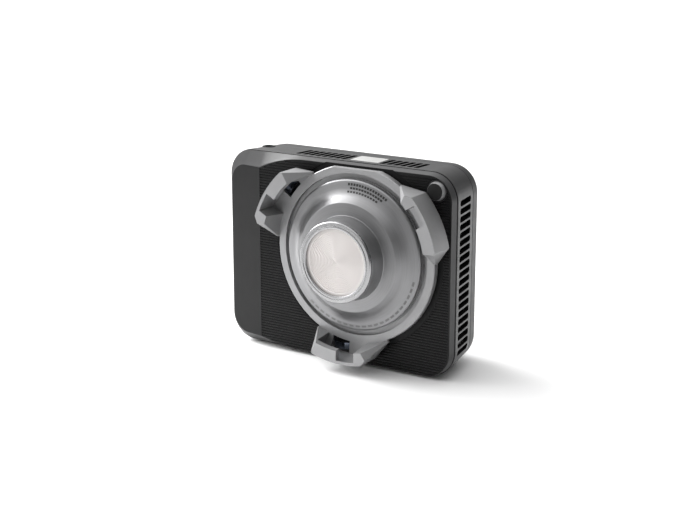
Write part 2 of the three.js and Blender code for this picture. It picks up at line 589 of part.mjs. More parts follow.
// ---------------------------------------------------------------- power and control electronics
add('power_supply_board', box(-91, -50, 31, 32.6, -60, 44), ...BOARD);
add('transformer', join([
  box(-84, -58, 17, 30.7, -18, 6), box(-81, -61, 14, 30, -15, 3)]), 0xc9a227, 0.6);
[-80, -64].forEach((x, i) => {
  add(`capacitor_${i + 1}`, rod(6.5, 12, 30.7, x, 28, 20), 0x202a4a, 0.4);
});
add('driver_coil', turned([[4, 21], [10, 21], [10, 30.7], [4, 30.7]], 24, -71, -40), ...COPPER);
add('control_board', box(-84, -46, 52, 53.6, -29.5, 40), ...BOARD);
add('display_module',
  box(PANEL_X - 15, PANEL_X + 15, 53.9, 59.2, DISPLAY.z - 9, DISPLAY.z + 9), 0x222a30, 0.4);
{
  const halfWidth = DISPLAY.width / 2 - GAP;
  const halfHeight = DISPLAY.height / 2 - GAP;
  const window = roundedRect(
    PANEL_X - halfWidth, PANEL_X + halfWidth, DISPLAY.z - halfHeight, DISPLAY.z + halfHeight, 1.8);
  add('display_window', prism(window, 60.2, BACK_Y + 0.2), 0x0b0c0e, 0.1);
}
for (const [name, x] of KNOBS) {
  add(`${name}_encoder`, join([
    box(x - 6, x + 6, 53.9, 59.2, KNOB.z - 6, KNOB.z + 6), rod(3, 58, 68, x, KNOB.z, 24)]), 0x9a9ca0, 0.4, 1);
  const grip = 1.1;
  const flutes = Array.from({ length: 12 }, (_, i) => {
    const [dx, dz] = polar(KNOB.r + 0.3, i * 30);
    return rod(0.9, KNOB.frontY + 1.4, KNOB.backY - grip - 0.4, x + dx, KNOB.z + dz, 5);
  });
  const body = turned([
    [0, KNOB.backY - 0.4], [KNOB.r - 2, KNOB.backY - 0.4], [KNOB.r - 1.2, KNOB.backY],
    [KNOB.r - 0.4, KNOB.backY], [KNOB.r, KNOB.backY - grip + 0.4], [KNOB.r, KNOB.frontY],
    [KNOB.bore, KNOB.frontY], [KNOB.bore, 68.2], [0, 68.2]], 28, x, KNOB.z);
  add(`${name}_knob`, cut(body, flutes), 0x1c1c1e, 0.5);
}
for (const [name, x] of KEYS) {
  add(name, turned([
    [0, BACK_Y + KEY.proud - 0.2], [KEY.r - 0.8, BACK_Y + KEY.proud], [KEY.r, BACK_Y + KEY.proud - 0.7],
    [KEY.r, 59.2], [KEY.r + 1, 59.2], [KEY.r + 1, 57.6], [0, 57.6]], 20, x, KEY.z), 0x2a2a2d, 0.5);
}

// Recessed three-blade inlet: a hollow block, its blades ending well inside the mouth.
function powerInlet() {
  const { width, height, depth } = INLET;
  const half = width / 2;
  const floorY = BACK_Y - depth + 2;
  const block = prism(roundedRect(
    PANEL_X - half, PANEL_X + half, INLET.z - height / 2, INLET.z + height / 2, 1.8),
  BACK_Y - depth, BACK_Y + 0.4);
  const socket = prism(roundedRect(
    PANEL_X - half + 1.8, PANEL_X + half - 1.8, INLET.z - height / 2 + 2, INLET.z + height / 2 - 2, 2.4),
  floorY, BACK_Y + 2);
  const blades = [[-7, -1], [0, 2], [7, -1]].map(([dx, dz]) => box(
    PANEL_X + dx - 1, PANEL_X + dx + 1, floorY - 1, BACK_Y - 5.4, INLET.z + dz - 2, INLET.z + dz + 2));
  return join([cut(block, [socket]), ...blades]);
}
add('power_inlet', powerInlet(), ...BLACK);
add('service_port', cut(
  prism(roundedRect(PANEL_X - 4.6, PANEL_X + 4.6, -28, -25, 1.4), 54.2, BACK_Y),
  [prism(roundedRect(PANEL_X - 4.1, PANEL_X + 4.1, -27.5, -25.5, 0.95), 56, 70)]), 0xa9abae, 0.35, 1);

// ---------------------------------------------------------------- base and fasteners
add('stand_plate', cut(
  box(STAND.x - STAND.width / 2, STAND.x + STAND.width / 2,
    STAND.y - STAND.depth / 2, STAND.y + STAND.depth / 2, BASE_Z, -68),
  [uprightRod(STAND.bushR + 0.1, BASE_Z - 1, -60, STAND.x, STAND.y, 28)]), 0x4a4b4e, 0.45, 0.9);
add('stand_insert', cut(
  uprightRod(STAND.bushR, BASE_Z + 0.3, -58, STAND.x, STAND.y, 28),
  [uprightRod(STAND.boreR, BASE_Z - 1, -60, STAND.x, STAND.y, 24)]), 0xb9975a, 0.35, 1);

function uprightRod(r, z0, z1, x, y, sides) {
  const geometry = new THREE.CylinderGeometry(r, r, z1 - z0, sides).rotateX(Math.PI / 2);
  return toSolid(geometry.translate(x, y, (z0 + z1) / 2));
}

add('top_thread_insert', cut(threadHole(THREAD.r, 46, 55.9), [threadHole(2.6, 48, 60)]), ...BLACK);

rearScrewPlaces().forEach(([x, z], i) => {
  const socket = prism(hexagon(x, z, 1.3), BACK_Y - 0.9, BACK_Y + 1);
  const head = cut(rod(2.8, BACK_Y - 1.3, BACK_Y - 0.1, x, z, 16), [socket]);
  add(`rear_screw_${i + 1}`, join([head, rod(1.4, 50, BACK_Y - 1, x, z, 10)]), 0x2c2c2f, 0.35, 1);
});

function hexagon(x, z, r) {
  return Array.from({ length: 6 }, (_, i) => polar(r, 60 * i)).map(([dx, dz]) => [x + dx, z + dz]);
}

// ---------------------------------------------------------------- stand it on its base
const bounds = new THREE.Box3().setFromObject(group);
const middle = bounds.getCenter(new THREE.Vector3());
group.position.set(-middle.x, -middle.y, -bounds.min.z);

export default group;
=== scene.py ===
import json
import math

import bmesh
import bpy
from mathutils import Matrix, Vector


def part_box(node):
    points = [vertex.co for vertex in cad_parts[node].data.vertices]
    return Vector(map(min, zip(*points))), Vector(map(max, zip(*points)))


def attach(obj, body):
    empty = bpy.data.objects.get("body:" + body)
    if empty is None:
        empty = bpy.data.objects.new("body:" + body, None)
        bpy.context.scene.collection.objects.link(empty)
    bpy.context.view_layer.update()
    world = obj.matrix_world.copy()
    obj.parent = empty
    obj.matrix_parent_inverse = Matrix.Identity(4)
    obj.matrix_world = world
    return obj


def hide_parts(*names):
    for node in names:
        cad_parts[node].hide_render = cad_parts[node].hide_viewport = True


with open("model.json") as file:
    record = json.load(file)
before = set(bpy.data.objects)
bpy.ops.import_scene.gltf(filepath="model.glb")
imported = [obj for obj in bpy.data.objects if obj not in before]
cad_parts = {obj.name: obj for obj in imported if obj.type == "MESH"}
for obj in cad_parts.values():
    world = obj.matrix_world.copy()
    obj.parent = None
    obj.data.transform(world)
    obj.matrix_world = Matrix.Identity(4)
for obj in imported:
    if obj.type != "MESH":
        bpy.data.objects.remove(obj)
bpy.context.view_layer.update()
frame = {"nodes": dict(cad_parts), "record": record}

# ------------------------------------------------------------------ the lamp's own frame
# Shapes are made in millimetres about the optical axis, which runs along Y: y = 0 is the seat of
# the accessory ring and the light shines along -Y. They are moved to the row frame when finished.
MM = 0.001
LENS_FRONT_Y = -22.5

lens_low, lens_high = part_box("fresnel_lens")
ORIGIN = (lens_low + lens_high) / 2
ORIGIN.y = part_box("lens_retaining_ring")[0].y - LENS_FRONT_Y * MM
TO_ROW = Matrix.Translation(ORIGIN) @ Matrix.Scale(MM, 4)
TO_LAMP = TO_ROW.inverted()


def lamp_box(node):
    """(low corner, high corner) of a CAD node in the lamp's frame, in millimetres."""
    return tuple(TO_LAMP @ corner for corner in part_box(node))


# Body
shell_low, shell_high = lamp_box("front_shell")
PANEL_Y = 4.5
SEAM_Y = shell_high.y
GAP = 0.3
REAR_SEAM_Y = lamp_box("main_housing")[1].y
BACK_Y = lamp_box("rear_cover")[1].y
CREASE_X = -74.0
SLANT = math.tan(math.radians(10))
BODY = {"left": shell_low.x, "right": shell_high.x, "top": shell_high.z, "bottom": shell_low.z}
BODY_RADIUS = 17.5
DRAFT = {"side": 0.15, "top": 0.035, "bottom": 0.041}
FRONT = {"left": BODY["left"] + 1.7, "right": BODY["right"] - 1.4, "top": BODY["top"] - 1.7,
         "bottom": BODY["bottom"] + 1.2, "slant_top": 46.1, "slant_bottom": -66.2}
WALL = 2.4
REAR_STEPS = [(44.5, 0.0), (47.0, 1.2), (51.0, 3.8), (56.0, 6.8), (60.0, 9.0), (BACK_Y, 11.0)]
SEAM_CHAMFER = 0.3
SEAM_STEP = 0.55

# Front panel
FRONT_WALL = 2.8
RIB_PITCH = 1.75
RIB_DEPTH = 0.5
RIB_MARGIN = 0.9  # plain border left between the ribs and the edge of the flat front
FIRST_RIB, LAST_RIB = 1.6, 1.2  # from the bottom and the top edge of the face
GROOVE = {"front": -0.4, "front_half": 0.72, "floor_half": 0.26, "end_pull": 0.35}
RECESS_R = 59.7
RECESS_Y = 5.7
SPIGOT_R = 46.5
BUTTON_R = 5.8
BUTTON_HOLE_R = 6.9
PIN_HOLE_R = 2.4
HOLE_CHAMFER = 0.3

# Rear cover
GRILLE_HOLE_R = 38.4
ENCODER_HOLE_R = 4.9
KEY_HOLE_R = 4.3
SCREW_HOLE_R = 1.7
SCREW_HEAD = {"r": 3.1, "depth": 1.4}

# Vents, and how far their cutters reach: across each side wall, and below and above the top wall
VENT = {"pitch": 4.91, "height": 3.65, "corner": 1.5, "count": 20, "top": 37.2, "y0": 14.0, "y1": 32.6}
TOP_VENT = {"pitch": 4.74, "width": 3.4, "y0": 13.0, "y1": 29.4, "groups": [(-50.2, 8), (11.0, 6)]}
RIGHT_WALL = (50, 72)
LEFT_WALL = (-108, -84)
TOP_WALL = (BODY["top"] - 8, BODY["top"] + 4)


def middle(node):
    low, high = lamp_box(node)
    return (low.x + high.x) / 2, (low.z + high.z) / 2


BUTTON_X, BUTTON_Z = middle("release_button")
PIN_X, PIN_Z = middle("lock_pin")
FAN_X, FAN_Z = middle("fan_grille")


# ------------------------------------------------------------------ mesh helpers
def polar(r, degrees):
    return r * math.cos(math.radians(degrees)), r * math.sin(math.radians(degrees))


def along(stations, at):
    """Value at one place on the straight lines through stations of (place, value, ...)."""
    for (a0, b0, *_), (a1, b1, *_) in zip(stations, stations[1:]):
        if at <= a1:
            return b0 + (b1 - b0) * max(0.0, (at - a0) / (a1 - a0))
    return stations[-1][1]


def new_object(name, vertices, faces):
    mesh = bpy.data.meshes.new(name)
    mesh.from_pydata(vertices, [], faces)
    piece = bpy.data.objects.new(name, mesh)
    bpy.context.scene.collection.objects.link(piece)
    return piece


def tidy(piece, merge=1e-4):
    """Merges double points and turns every face outwards."""
    bm = bmesh.new()
    bm.from_mesh(piece.data)
    bmesh.ops.remove_doubles(bm, verts=bm.verts, dist=merge)
    bmesh.ops.dissolve_degenerate(bm, dist=merge, edges=bm.edges)
    bmesh.ops.recalc_face_normals(bm, faces=bm.faces)
    bm.to_mesh(piece.data)
    bm.free()
    return piece


def bake(piece):
    """Applies the piece's modifiers."""
    graph = bpy.context.evaluated_depsgraph_get()
    made = bpy.data.meshes.new_from_object(piece.evaluated_get(graph))
    old = piece.data
    piece.modifiers.clear()
    piece.data = made
    bpy.data.meshes.remove(old)
    return piece


def joined(name, parts):
    """One object from several, which are used up."""
    vertices, faces = [], []
    for part in parts:
        start = len(vertices)
        vertices += [v.co.copy() for v in part.data.vertices]
        faces += [[start + i for i in face.vertices] for face in part.data.polygons]
        bpy.data.objects.remove(part)
    return new_object(name, vertices, faces)


def carve(piece, *groups):
    """Cuts each group of cutters away. The cutters of one group don't touch each other."""
    for group in groups:
        cutter = joined("cutter", group)
        step = piece.modifiers.new("cut", "BOOLEAN")
        step.operation = "DIFFERENCE"
        step.solver = "EXACT"
        step.object = cutter
        bake(piece)
        bpy.data.objects.remove(cutter)
    return piece


def soften(piece, width, angle=30, segments=2):
    step = piece.modifiers.new("soften", "BEVEL")
    step.width = width
    step.segments = segments
    step.limit_method = "ANGLE"
    step.angle_limit = math.radians(angle)
    step.use_clamp_overlap = True
    step.harden_normals = False
    return bake(piece)


def merge_flat(piece, angle=0.6):
    """Joins triangles that lie in one plane, so that only real edges are left."""
    bm = bmesh.new()
    bm.from_mesh(piece.data)
    bmesh.ops.remove_doubles(bm, verts=bm.verts, dist=1e-4)
    bmesh.ops.dissolve_limit(
        bm, angle_limit=math.radians(angle), use_dissolve_boundaries=False,
        verts=bm.verts, edges=bm.edges)
    bm.to_mesh(piece.data)
    bm.free()
    return piece


def lathe(name, profile, steps=160, centre=(0.0, 0.0)):
    """Turned piece about the Y axis through centre: a closed list of (radius, y)."""
    cx, cz = centre
    count = len(profile)
    vertices = []
    for i in range(steps):
        c, s = polar(1, 360 * i / steps)
        vertices += [(cx + r * c, y, cz + r * s) for r, y in profile]
    faces = []
    for i in range(steps):
        a, b = i * count, ((i + 1) % steps) * count
        for k in range(count):
            n = (k + 1) % count
            faces.append((a + k, a + n, b + n, b + k))
    return tidy(new_object(name, vertices, faces))


def filleted(points, radius, steps=4):
    """A closed outline with each corner rounded. A third number on a point is its own radius."""
    made = []
    count = len(points)
    for i, point in enumerate(points):
        here = Vector(point[:2])
        before = Vector(points[i - 1][:2]) - here
        after = Vector(points[(i + 1) % count][:2]) - here
        reach = point[2] if len(point) > 2 else radius
        if here.x < 1e-6 or reach <= 0:
            made.append(tuple(here))
            continue
        reach = min(reach, 0.45 * before.length, 0.45 * after.length)
        a = here + before.normalized() * reach
        b = here + after.normalized() * reach
        for k in range(steps + 1):
            t = k / steps
            made.append(tuple(a * (1 - t) ** 2 + here * (2 * t * (1 - t)) + b * t ** 2))
    return made


def rod(r, y0, y1, x=0.0, z=0.0, steps=96):
    return lathe("rod", [(0, y0), (r, y0), (r, y1), (0, y1)], steps, (x, z))


def rounded_rect(x0, x1, z0, z1, r, steps=6):
    outline = []
    centres = ((x1 - r, z0 + r, 270), (x1 - r, z1 - r, 0), (x0 + r, z1 - r, 90), (x0 + r, z0 + r, 180))
    for cx, cz, start in centres:
        for i in range(steps + 1):
            dx, dz = polar(r, start + 90 * i / steps)
            outline.append((cx + dx, cz + dz))
    return outline


def prism(outline, y0, y1, place=lambda a, y, b: (a, y, b)):
    """A straight solid over an outline. place says where (a, depth, b) goes."""
    count = len(outline)
    vertices = [place(a, y, b) for y in (y0, y1) for a, b in outline]
    faces = [tuple(range(count)), tuple(range(2 * count - 1, count - 1, -1))]
    faces += [(i, i + count, (i + 1) % count + count, (i + 1) % count) for i in range(count)]
    return tidy(new_object("prism", vertices, faces))


def along_x(a, depth, b):
    return depth, a, b


def along_z(a, depth, b):
    return a, b, depth


# ------------------------------------------------------------------ materials
class Shader:
    """A node material with a principled shader and the usual ways to vary it."""

    def __init__(self, name, color, roughness, metallic=0.0, **sockets):
        self.material = bpy.data.materials.new(name)
        self.material.use_nodes = True
        self.nodes = self.material.node_tree.nodes
        self.links = self.material.node_tree.links
        self.shader = self.nodes["Principled BSDF"]
        self.color = (*color, 1.0)
        self.set("Base Color", self.color)
        self.set("Roughness", roughness)
        self.set("Metallic", metallic)
        for socket, value in sockets.items():
            self.set(socket.replace("_", " "), value)
        self.material.diffuse_color = self.color
        self.coords = self.nodes.new("ShaderNodeTexCoord").outputs["Object"]
        self.height = None

    def set(self, socket, value):
        self.shader.inputs[socket].default_value = value

    def noise(self, size_mm, detail, vector=None):
        """Noise whose features are about size_mm across."""
        noise = self.nodes.new("ShaderNodeTexNoise")
        noise.inputs["Scale"].default_value = 1 / (size_mm * MM)
        noise.inputs["Detail"].default_value = detail
        self.links.new(vector or self.coords, noise.inputs["Vector"])
        return noise.outputs["Fac"]

    def vector_math(self, operation, vector, second=None):
        """One vector operation; second is another vector or a socket."""
        node = self.nodes.new("ShaderNodeVectorMath")
        node.operation = operation
        self.links.new(vector, node.inputs[0])
        if isinstance(second, bpy.types.NodeSocket):
            self.links.new(second, node.inputs[1])
        elif second is not None:
            node.inputs[1].default_value = second
        return node

    def around(self, angular=0.02):
        """Coordinates round the optical axis, so that noise becomes fine turned rings."""
        shift = self.vector_math("SUBTRACT", self.coords, ORIGIN).outputs[0]
        flat = self.vector_math("MULTIPLY", shift, (1, 0, 1)).outputs[0]
        radius = self.vector_math("LENGTH", flat).outputs["Value"]
        squeezed = self.vector_math("MULTIPLY", shift, (angular, 1, angular)).outputs[0]
        return self.vector_math("ADD", squeezed, radius).outputs[0]

    def between(self, factor, low, high, spread=(0.3, 0.7)):
        """Maps a factor to a range of numbers."""
        remap = self.nodes.new("ShaderNodeMapRange")
        remap.inputs["From Min"].default_value, remap.inputs["From Max"].default_value = spread
        remap.inputs["To Min"].default_value = low
        remap.inputs["To Max"].default_value = high
        self.links.new(factor, remap.inputs["Value"])
        return remap.outputs["Result"]

    def vary_roughness(self, factor, low, high):
        self.links.new(self.between(factor, low, high), self.shader.inputs["Roughness"])
        return self

    def vary_color(self, factor, darker, lighter):
        """Base colour from a darker to a lighter share of its own value."""
        ramp = self.nodes.new("ShaderNodeValToRGB")
        ramp.color_ramp.elements[0].position = 0.3
        ramp.color_ramp.elements[1].position = 0.7
        for element, share in zip(ramp.color_ramp.elements, (darker, lighter)):
            element.color = (*[min(1.0, c * share) for c in self.color[:3]], 1.0)
        self.links.new(factor, ramp.inputs["Fac"])
        self.links.new(ramp.outputs["Color"], self.shader.inputs["Base Color"])
        return self

    def bump(self, factor, depth_mm):
        """Adds one layer of relief over the layers before it."""
        node = self.nodes.new("ShaderNodeBump")
        node.inputs["Distance"].default_value = depth_mm * MM
        node.inputs["Strength"].default_value = 1.0
        self.links.new(factor, node.inputs["Height"])
        if self.height is not None:
            self.links.new(self.height, node.inputs["Normal"])
        self.height = node.outputs["Normal"]
        self.links.new(self.height, self.shader.inputs["Normal"])
        return self


def moulded(name, color, roughness, grain=0.35, depth=0.012, **sockets):
    """Moulded plastic: a fine spark-eroded grain, soft handling marks and faint colour drift."""
    made = Shader(name, color, roughness, **sockets)
    made.bump(made.noise(grain, 3.0), depth)
    made.vary_roughness(made.noise(9.0, 5.0), roughness - 0.05, roughness + 0.06)
    made.vary_color(made.noise(22.0, 4.0), 0.9, 1.1)
    return made.material


def painted(name, color, roughness, **sockets):
    """Sprayed finish on metal: fine orange peel under a satin coat, with faint rubbed places."""
    made = Shader(name, color, roughness, **sockets)
    made.bump(made.noise(0.55, 3.0), 0.008)
    made.bump(made.noise(0.16, 2.0), 0.003)
    made.vary_roughness(made.noise(14.0, 5.0), roughness - 0.05, roughness + 0.05)
    made.vary_color(made.noise(30.0, 3.0), 0.92, 1.08)
    return made.material


def blasted(name, color, roughness, metallic):
    """Bead-blasted, anodised light metal."""
    made = Shader(name, color, roughness, metallic)
    made.bump(made.noise(0.22, 4.0), 0.006)
    made.bump(made.noise(0.6, 2.0), 0.012)
    made.vary_roughness(made.noise(6.0, 5.0), roughness - 0.05, roughness + 0.06)
    made.vary_color(made.noise(18.0, 4.0), 0.95, 1.04)
    return made.material


def turned_metal(name, color, roughness, metallic=1.0, ring=0.16):
    """Metal with fine lathe rings round the optical axis."""
    made = Shader(name, color, roughness, metallic)
    made.bump(made.noise(ring, 2.0, made.around()), 0.0035)
    made.bump(made.noise(0.2, 3.0), 0.003)
    made.bump(made.noise(0.6, 2.0), 0.009)
    made.vary_roughness(made.noise(7.0, 5.0), roughness - 0.04, roughness + 0.05)
    made.vary_color(made.noise(1.4, 3.0, made.around(0.05)), 0.95, 1.04)
    return made.material


def bare_metal(name, color, roughness):
    """Uncoated metal with fine scratches and faint stains."""
    made = Shader(name, color, roughness, 1.0)
    made.bump(made.noise(0.12, 3.0), 0.002)
    made.vary_roughness(made.noise(2.5, 5.0), roughness - 0.05, roughness + 0.08)
    made.vary_color(made.noise(5.0, 4.0), 0.88, 1.06)
    return made.material


def clear(name, color, roughness, transmission):
    """Smooth clear plastic or glass; a low transmission makes it milky."""
    made = Shader(name, color, roughness)
    made.set("Transmission Weight", transmission)
    made.set("IOR", 1.49)
    made.vary_roughness(made.noise(5.0, 4.0), max(0.0, roughness - 0.03), roughness + 0.04)
    return made.material


PANEL = moulded("ribbed_panel", (0.010, 0.010, 0.0103), 0.42, grain=0.14, depth=0.001,
                Specular_IOR_Level=0.15)
HOUSING = painted("housing_paint", (0.046, 0.046, 0.047), 0.36, Specular_IOR_Level=0.32)
# Near-black material for the inside of the housing shell and the walls of its vents: painted shade for the
# dark inside of the body.
INSIDE_SHADE = moulded("painted_inside_shade", (0.006, 0.006, 0.006), 0.8, Specular_IOR_Level=0.1)
REAR = moulded("rear_plastic", (0.042, 0.042, 0.043), 0.42, Specular_IOR_Level=0.32)
CAST = blasted("satin_metal", (0.305, 0.305, 0.31), 0.46, 0.55)
HOOD = turned_metal("turned_metal", (0.245, 0.245, 0.25), 0.40, 0.80)
POLISHED = turned_metal("polished_ring", (0.36, 0.36, 0.365), 0.24, ring=0.12)
LENS = clear("ribbed_lens", (0.75, 0.715, 0.70), 0.12, 0.06)
DARK_STEEL = bare_metal("blued_steel", (0.16, 0.18, 0.22), 0.16)
STEEL = bare_metal("bright_steel", (0.62, 0.62, 0.64), 0.28)
BLACK_STEEL = bare_metal("black_steel", (0.05, 0.05, 0.055), 0.35)
BLACK = moulded("black_plastic", (0.012, 0.012, 0.013), 0.42)
BUTTON_FACE = moulded("button_plastic", (0.010, 0.010, 0.010), 0.5, depth=0.004, Specular_IOR_Level=0.25)
RUBBER = moulded("black_rubber", (0.015, 0.015, 0.015), 0.75, grain=0.2)
INK = moulded("dark_ink", (0.008, 0.008, 0.008), 0.55, grain=0.2, depth=0.003)
FAINT_INK = moulded("grey_ink", (0.13, 0.13, 0.132), 0.55, grain=0.2, depth=0.003)
BADGE = painted("blank_badge", (0.46, 0.46, 0.45), 0.35)
REFLECTOR = bare_metal("reflector_film", (0.88, 0.88, 0.89), 0.12)
CERAMIC = moulded("ceramic", (0.75, 0.72, 0.66), 0.55)
PHOSPHOR = moulded("phosphor", (0.80, 0.55, 0.10), 0.45, grain=0.5)
COPPER = bare_metal("copper", (0.72, 0.36, 0.20), 0.30)
FIN_METAL = bare_metal("black_fin_metal", (0.035, 0.035, 0.037), 0.45)
BOARD = moulded("solder_mask", (0.015, 0.09, 0.035), 0.35, grain=1.2, depth=0.02)
TAPE = moulded("winding_tape", (0.62, 0.42, 0.06), 0.45, grain=1.5)
SLEEVE = moulded("capacitor_sleeve", (0.02, 0.03, 0.08), 0.30)
SCREEN = clear("display_glass", (0.01, 0.011, 0.013), 0.06, 0.0)
BRASS = bare_metal("brass", (0.66, 0.48, 0.22), 0.30)
MATTE_BLACK = moulded("matte_black", (0.008, 0.008, 0.008), 0.7, Specular_IOR_Level=0.15)
STAND_PAINT = painted("stand_paint", (0.07, 0.07, 0.073), 0.45)


def finish(piece, name, material, body, stands_for=(), sharp=32, second=None, is_second=None):
    """Names, shades and places a piece that was made in the lamp's frame.

    is_second tells from a face's centre whether the face takes the second material.
    """
    piece.name = name
    piece.data.name = name
    piece.data.materials.clear()
    piece.data.materials.append(material)
    if second:
        piece.data.materials.append(second)
    for face in piece.data.polygons:
        face.material_index = 1 if second and is_second(face.center) else 0
    piece.data.transform(TO_ROW)
    shade(piece, sharp)
    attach(piece, body)
    if stands_for:
        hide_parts(*stands_for)
    return piece


def shade(piece, sharp):
    """Smooth shading between the edges sharper than an angle in degrees."""
    mesh = piece.data
    mesh.polygons.foreach_set("use_smooth", [True] * len(mesh.polygons))
    mesh.set_sharp_from_angle(angle=math.radians(sharp))
    even = piece.modifiers.new("even_normals", "WEIGHTED_NORMAL")
    even.keep_sharp = True
    even.weight = 50


BODY_OF = {node: body for body, nodes in frame["record"]["behaviour"]["bodies"].items() for node in nodes}


def softened_copy(node, material, width=0.25, sharp=32, segments=2):
    """A CAD node's shape with its edges rounded, as a piece of its own that stands for the node."""
    vertices = [TO_LAMP @ v.co for v in frame["nodes"][node].data.vertices]
    faces = [tuple(face.vertices) for face in frame["nodes"][node].data.polygons]
    piece = merge_flat(tidy(new_object(node, vertices, faces)))
    soften(piece, width, segments=segments)
    return finish(piece, node + "_piece", material, BODY_OF[node], [node], sharp)


# ------------------------------------------------------------------ body shells
CORNER_STEPS = 14
BEND_FROM = -40.0
BEND = [BEND_FROM + (CREASE_X - BEND_FROM) * i / 12 for i in range(13)]


def corner(x, z, r, start):
    points = [polar(r, start + 90 * i / CORNER_STEPS) for i in range(CORNER_STEPS + 1)]
    return [(x + dx, z + dz) for dx, dz in points]


def body_outline(y, inset=0.0):
    """Outline of the body at one depth, with the points of the front's shoulders on its long edges."""
    depth = min(y, REAR_STEPS[0][0]) - SEAM_Y
    x0 = BODY["left"] + DRAFT["side"] * depth + inset
    x1 = BODY["right"] - DRAFT["side"] * depth - inset
    z0 = BODY["bottom"] + DRAFT["bottom"] * depth + inset
    z1 = BODY["top"] - DRAFT["top"] * depth - inset
    r = BODY_RADIUS - inset
    return (corner(x1 - r, z0 + r, r, 270) + corner(x1 - r, z1 - r, r, 0) + [(x, z1) for x in BEND]
            + corner(x0 + r, z1 - r, r, 90) + corner(x0 + r, z0 + r, r, 180)
            + [(x, z0) for x in reversed(BEND)])


def encloses(outline, x, z):
    """Whether a point lies inside a closed outline."""
    inside = False
    for (x0, z0), (x1, z1) in zip(outline, outline[1:] + outline[:1]):
        if (z0 > z) != (z1 > z) and x < x0 + (x1 - x0) * (z - z0) / (z1 - z0):
            inside = not inside
    return inside


def depth_inside(point):
    """How far a point lies inside the body's outer wall."""
    depth = min(point.y, REAR_STEPS[0][0]) - SEAM_Y
    half_x = (BODY["right"] - BODY["left"]) / 2 - DRAFT["side"] * depth
    half_z = (BODY["top"] - BODY["bottom"]) / 2 - DRAFT["top"] * depth
    dx = abs(point.x - (BODY["right"] + BODY["left"]) / 2) - half_x + BODY_RADIUS
    dz = abs(point.z - (BODY["top"] + BODY["bottom"]) / 2) - half_z + BODY_RADIUS
    return BODY_RADIUS - math.hypot(max(dx, 0.0), max(dz, 0.0)) - min(max(dx, dz), 0.0)


def at_depth(outline, y):
    return [(x, y, z) for x, z in outline]


def loft(name, rings, fold=None):
    """Solid through rings of equal counts, closed at both ends. fold creases the first end."""
    count = len(rings[0])
    vertices = [point for ring in rings for point in ring]
    faces = []
    for k in range(len(rings) - 1):
        for i in range(count):
            a, b = k * count + i, k * count + (i + 1) % count
            faces.append((a, b, b + count, a + count))
    if fold:
        faces.append(tuple(range(fold[0], fold[1] + 1)))
        faces.append(tuple(list(range(fold[1], count)) + list(range(fold[0] + 1))))
    else:
        faces.append(tuple(range(count)))
    faces.append(tuple(range((len(rings) - 1) * count, len(rings) * count)))
    return tidy(new_object(name, vertices, faces), 1e-5)


def shell(name, depths, inset=0.0):
    return loft(name, [at_depth(body_outline(y, inset + step), y) for y, step in depths])


def shoulder(x):
    """How far the plain left face has dropped, from none to all, along its rounded shoulders."""
    return min(1.0, max(0.0, (BEND_FROM - x) / (BEND_FROM - CREASE_X))) ** 2


def face_top(x):
    return FRONT["top"] + (FRONT["slant_top"] - FRONT["top"]) * shoulder(x)


def face_bottom(x):
    return FRONT["bottom"] + (FRONT["slant_bottom"] - FRONT["bottom"]) * shoulder(x)


FACE_RIGHT_R = 16.0
FACE_LEFT_R = 12.0
# Where the rounded front edge starts and ends, as shares of the way from the face to the seam.
EDGE_START, EDGE_END, EDGE_STEPS = -0.16, 0.12, 10


def face_ring():
    right = FRONT["right"] - FACE_RIGHT_R
    left = FRONT["left"] + FACE_LEFT_R
    outline = (corner(right, FRONT["bottom"] + FACE_RIGHT_R, FACE_RIGHT_R, 270)
               + corner(right, FRONT["top"] - FACE_RIGHT_R, FACE_RIGHT_R, 0)
               + [(x, face_top(x)) for x in BEND]
               + corner(left, FRONT["slant_top"] - FACE_LEFT_R, FACE_LEFT_R, 90)
               + corner(left, FRONT["slant_bottom"] + FACE_LEFT_R, FACE_LEFT_R, 180)
               + [(x, face_bottom(x)) for x in reversed(BEND)])
    return [(x, PANEL_Y + SLANT * max(0.0, CREASE_X - x), z) for x, z in outline]


def rib_grooves():
    """Grooves between the ribs of the flat front, each ending just short of the face's edge."""
    low_centre = FRONT["bottom"] + FACE_RIGHT_R
    high_centre = FRONT["top"] - FACE_RIGHT_R
    first = FRONT["bottom"] + FIRST_RIB
    count = int((FRONT["top"] - LAST_RIB - first) / RIB_PITCH) + 1
    ends = ((PANEL_Y + GROOVE["front"], GROOVE["front_half"], 0.0),
            (PANEL_Y + RIB_DEPTH, GROOVE["floor_half"], GROOVE["end_pull"]))
    grooves = []
    for i in range(count):
        z = first + i * RIB_PITCH
        over = max(0.0, low_centre - z, z - high_centre)
        x1 = FRONT["right"] - FACE_RIGHT_R + math.sqrt(FACE_RIGHT_R ** 2 - over ** 2) - RIB_MARGIN
        x0 = CREASE_X
        while face_top(x0) < z + RIB_MARGIN or face_bottom(x0) > z - RIB_MARGIN:
            x0 += 0.25
        vertices = []
        for y, half, pull in ends:
            vertices += [(x0 + pull, y, z - half), (x1 - pull, y, z - half),
                         (x1 - pull, y, z + half), (x0 + pull, y, z + half)]
        faces = [(0, 1, 2, 3), (7, 6, 5, 4)]
        faces += [(k, k + 4, (k + 1) % 4 + 4, (k + 1) % 4) for k in range(4)]
        grooves.append(tidy(new_object("groove", vertices, faces), 1e-5))
    return grooves


